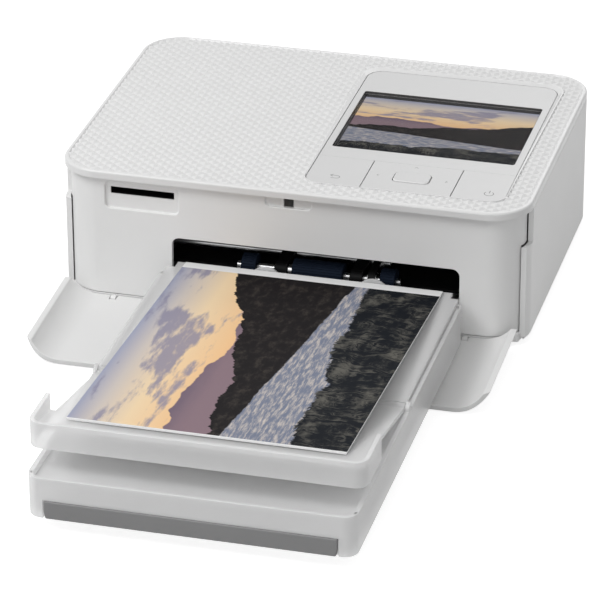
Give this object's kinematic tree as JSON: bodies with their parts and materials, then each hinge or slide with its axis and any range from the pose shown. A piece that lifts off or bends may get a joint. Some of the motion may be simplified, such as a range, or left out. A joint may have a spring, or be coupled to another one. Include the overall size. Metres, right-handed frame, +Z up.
{
  "type": "compact photo printer",
  "caption": "Compact dye-sublimation photo printer with a screen and keys in its lid, a drop-down front door and a frosted paper cassette holding a finished print.",
  "frame": {"origin": "on the table, under the centre of the whole outline with the cassette in place; the printer body's own centre is 83.95 mm behind it", "axes": "+X to the printer's right seen from the front, +Y to the back, +Z up"},
  "size_m": [0.1822, 0.301, 0.0576],
  "materials": {
    "white_shell": "matte white moulded plastic",
    "white_keys": "satin white plastic",
    "frosted": "frosted translucent plastic",
    "grey_plastic": "mid grey plastic",
    "black_plastic": "black plastic",
    "screen": "dark glass over the display",
    "steel": "zinc-plated steel sheet and ground shafts",
    "black_steel": "black coated steel sheet",
    "heatsink": "extruded aluminium",
    "navy_rubber": "dark blue ribbed rubber",
    "black_rubber": "black rubber",
    "acetal": "natural acetal",
    "ceramic": "glazed ceramic",
    "board": "green circuit board",
    "ribbon_blue": "dye ribbon",
    "paper": "blank photo paper",
    "print": "glossy photo print"
  },
  "bodies": {
    "printer": {"bottom_case": "white_shell", "front_panel": "white_shell", "left_panel": "white_shell", "rear_panel": "white_shell", "top_cover": "white_shell", "feet": "black_rubber", "case_screws": "steel", "chassis_left": "black_steel", "chassis_right": "black_steel", "cross_bars": "black_steel", "main_board": "board", "card_socket": "steel", "usb_port": "steel", "dc_inlet": "black_plastic", "motor": "steel", "motor_bracket": "steel", "fan_frame": "black_plastic", "lcd_module": "black_plastic", "button_board": "board", "key_switches": "black_plastic", "panel_bezel": "white_keys", "screen_glass": "screen", "pickup_frame": "black_plastic", "pickup_belt": "black_plastic", "paper_guide": "black_plastic", "ribbon_case": "white_keys", "ribbon_film": "ribbon_blue"},
    "front_door": {"front_door": "white_shell"},
    "ribbon_cover": {"ribbon_cover": "white_shell"},
    "menu_button": {"menu_button": "white_keys"},
    "pad_button": {"pad_button": "white_keys"},
    "ok_button": {"ok_button": "white_keys"},
    "power_button": {"power_button": "white_keys"},
    "pickup": {"pickup_shaft": "steel", "wide_pickup_roller": "navy_rubber", "small_pickup_rollers": "navy_rubber"},
    "counter": {"counter_shaft": "steel", "counter_gear": "acetal"},
    "platen": {"platen_roller": "black_rubber", "platen_shaft": "steel", "platen_gear": "acetal"},
    "feed": {"feed_roller": "steel", "feed_gear": "acetal"},
    "pinch": {"pinch_roller": "steel"},
    "train_idler": {"train_idler": "acetal"},
    "pickup_idler": {"pickup_idler": "acetal"},
    "motor_pinion": {"motor_pinion": "acetal"},
    "head": {"head_arm": "black_steel", "thermal_head": "ceramic", "head_heatsink": "heatsink"},
    "supply": {"supply_spool": "ribbon_blue"},
    "takeup": {"takeup_spool": "ribbon_blue"},
    "fan": {"fan_rotor": "black_plastic"},
    "cassette": {"cassette_box": "frosted", "cassette_bar": "grey_plastic", "cassette_lid": "frosted", "lift_plate": "steel", "paper_stack": "paper"},
    "cassette_cover": {"cassette_cover": "frosted"},
    "print": {"print_sheet": "print"}
  },
  "joints": [
    {"name": "door_hinge", "type": "hinge", "parent": "printer", "child": "front_door", "pos_m": [0, 0.01845, 0.0036], "axis": [-1, 0, 0], "range_deg": [0, 2.4]},
    {"name": "ribbon_cover_hinge", "type": "hinge", "parent": "printer", "child": "ribbon_cover", "pos_m": [0.0889, 0.14085, 0.03], "axis": [0, 0, 1], "range_deg": [0, 100]},
    {"name": "menu_button_press", "type": "slide", "parent": "printer", "child": "menu_button", "axis": [0, 0, -1], "range_m": [0, 0.0004], "stiffness_N_per_m": 600},
    {"name": "pad_button_press", "type": "slide", "parent": "printer", "child": "pad_button", "axis": [0, 0, -1], "range_m": [0, 0.0004], "stiffness_N_per_m": 600},
    {"name": "ok_button_press", "type": "slide", "parent": "printer", "child": "ok_button", "axis": [0, 0, -1], "range_m": [0, 0.0004], "stiffness_N_per_m": 600},
    {"name": "power_button_press", "type": "slide", "parent": "printer", "child": "power_button", "axis": [0, 0, -1], "range_m": [0, 0.0004], "stiffness_N_per_m": 600},
    {"name": "platen_spin", "type": "hinge", "parent": "printer", "child": "platen", "pos_m": [0.0102, 0.08395, 0.016], "axis": [1, 0, 0], "continuous": true},
    {"name": "feed_spin", "type": "hinge", "parent": "printer", "child": "feed", "pos_m": [0.0102, 0.12995, 0.0175], "axis": [1, 0, 0], "continuous": true},
    {"name": "pinch_spin", "type": "hinge", "parent": "printer", "child": "pinch", "pos_m": [0.0102, 0.12995, 0.0256], "axis": [1, 0, 0], "continuous": true},
    {"name": "train_idler_spin", "type": "hinge", "parent": "printer", "child": "train_idler", "pos_m": [0.0102, 0.10675, 0.02282], "axis": [1, 0, 0], "continuous": true},
    {"name": "pinion_spin", "type": "hinge", "parent": "printer", "child": "motor_pinion", "pos_m": [0.0102, 0.07131, 0.0233], "axis": [1, 0, 0], "continuous": true},
    {"name": "pickup_idler_spin", "type": "hinge", "parent": "printer", "child": "pickup_idler", "pos_m": [0.0102, 0.0572, 0.02493], "axis": [1, 0, 0], "continuous": true},
    {"name": "counter_spin", "type": "hinge", "parent": "printer", "child": "counter", "pos_m": [0.0102, 0.04025, 0.021], "axis": [1, 0, 0], "continuous": true},
    {"name": "pickup_spin", "type": "hinge", "parent": "printer", "child": "pickup", "pos_m": [0.0102, 0.02655, 0.0204], "axis": [1, 0, 0], "continuous": true},
    {"name": "head_lift", "type": "hinge", "parent": "printer", "child": "head", "pos_m": [0.0102, 0.13595, 0.044], "axis": [-1, 0, 0], "range_deg": [0, 3]},
    {"name": "supply_spin", "type": "hinge", "parent": "printer", "child": "supply", "pos_m": [0.0102, 0.10995, 0.0345], "axis": [1, 0, 0], "continuous": true},
    {"name": "takeup_spin", "type": "hinge", "parent": "printer", "child": "takeup", "pos_m": [0.0102, 0.05795, 0.0345], "axis": [1, 0, 0], "continuous": true},
    {"name": "fan_spin", "type": "hinge", "parent": "printer", "child": "fan", "pos_m": [-0.0858, 0.11395, 0.028], "axis": [1, 0, 0], "continuous": true},
    {"name": "cassette_slide", "type": "slide", "parent": "printer", "child": "cassette", "axis": [0, -1, 0], "range_m": [0, 0.036]},
    {"name": "cover_hinge", "type": "hinge", "parent": "cassette", "child": "cassette_cover", "pos_m": [0.0102, -0.07005, 0.0209], "axis": [-1, 0, 0], "range_deg": [0, 60]},
    {"name": "print_lift", "type": "hinge", "parent": "cassette", "child": "print", "pos_m": [0.0102, 0.01835, 0.0224], "axis": [-1, 0, 0], "range_deg": [0, 32]}
  ],
  "couplings": [
    {"joint": "train_idler_spin", "follows": "platen_spin", "ratio": -0.68571},
    {"joint": "feed_spin", "follows": "platen_spin", "ratio": 1},
    {"joint": "pinch_spin", "follows": "platen_spin", "ratio": -1.5},
    {"joint": "pinion_spin", "follows": "platen_spin", "ratio": -2},
    {"joint": "pickup_idler_spin", "follows": "platen_spin", "ratio": 1.0435},
    {"joint": "counter_spin", "follows": "platen_spin", "ratio": -1.2},
    {"joint": "pickup_spin", "follows": "platen_spin", "ratio": -1.2},
    {"joint": "takeup_spin", "follows": "supply_spin", "ratio": 1.5455},
    {"joint": "print_lift", "follows": "cover_hinge", "ratio": 0.52}
  ]
}
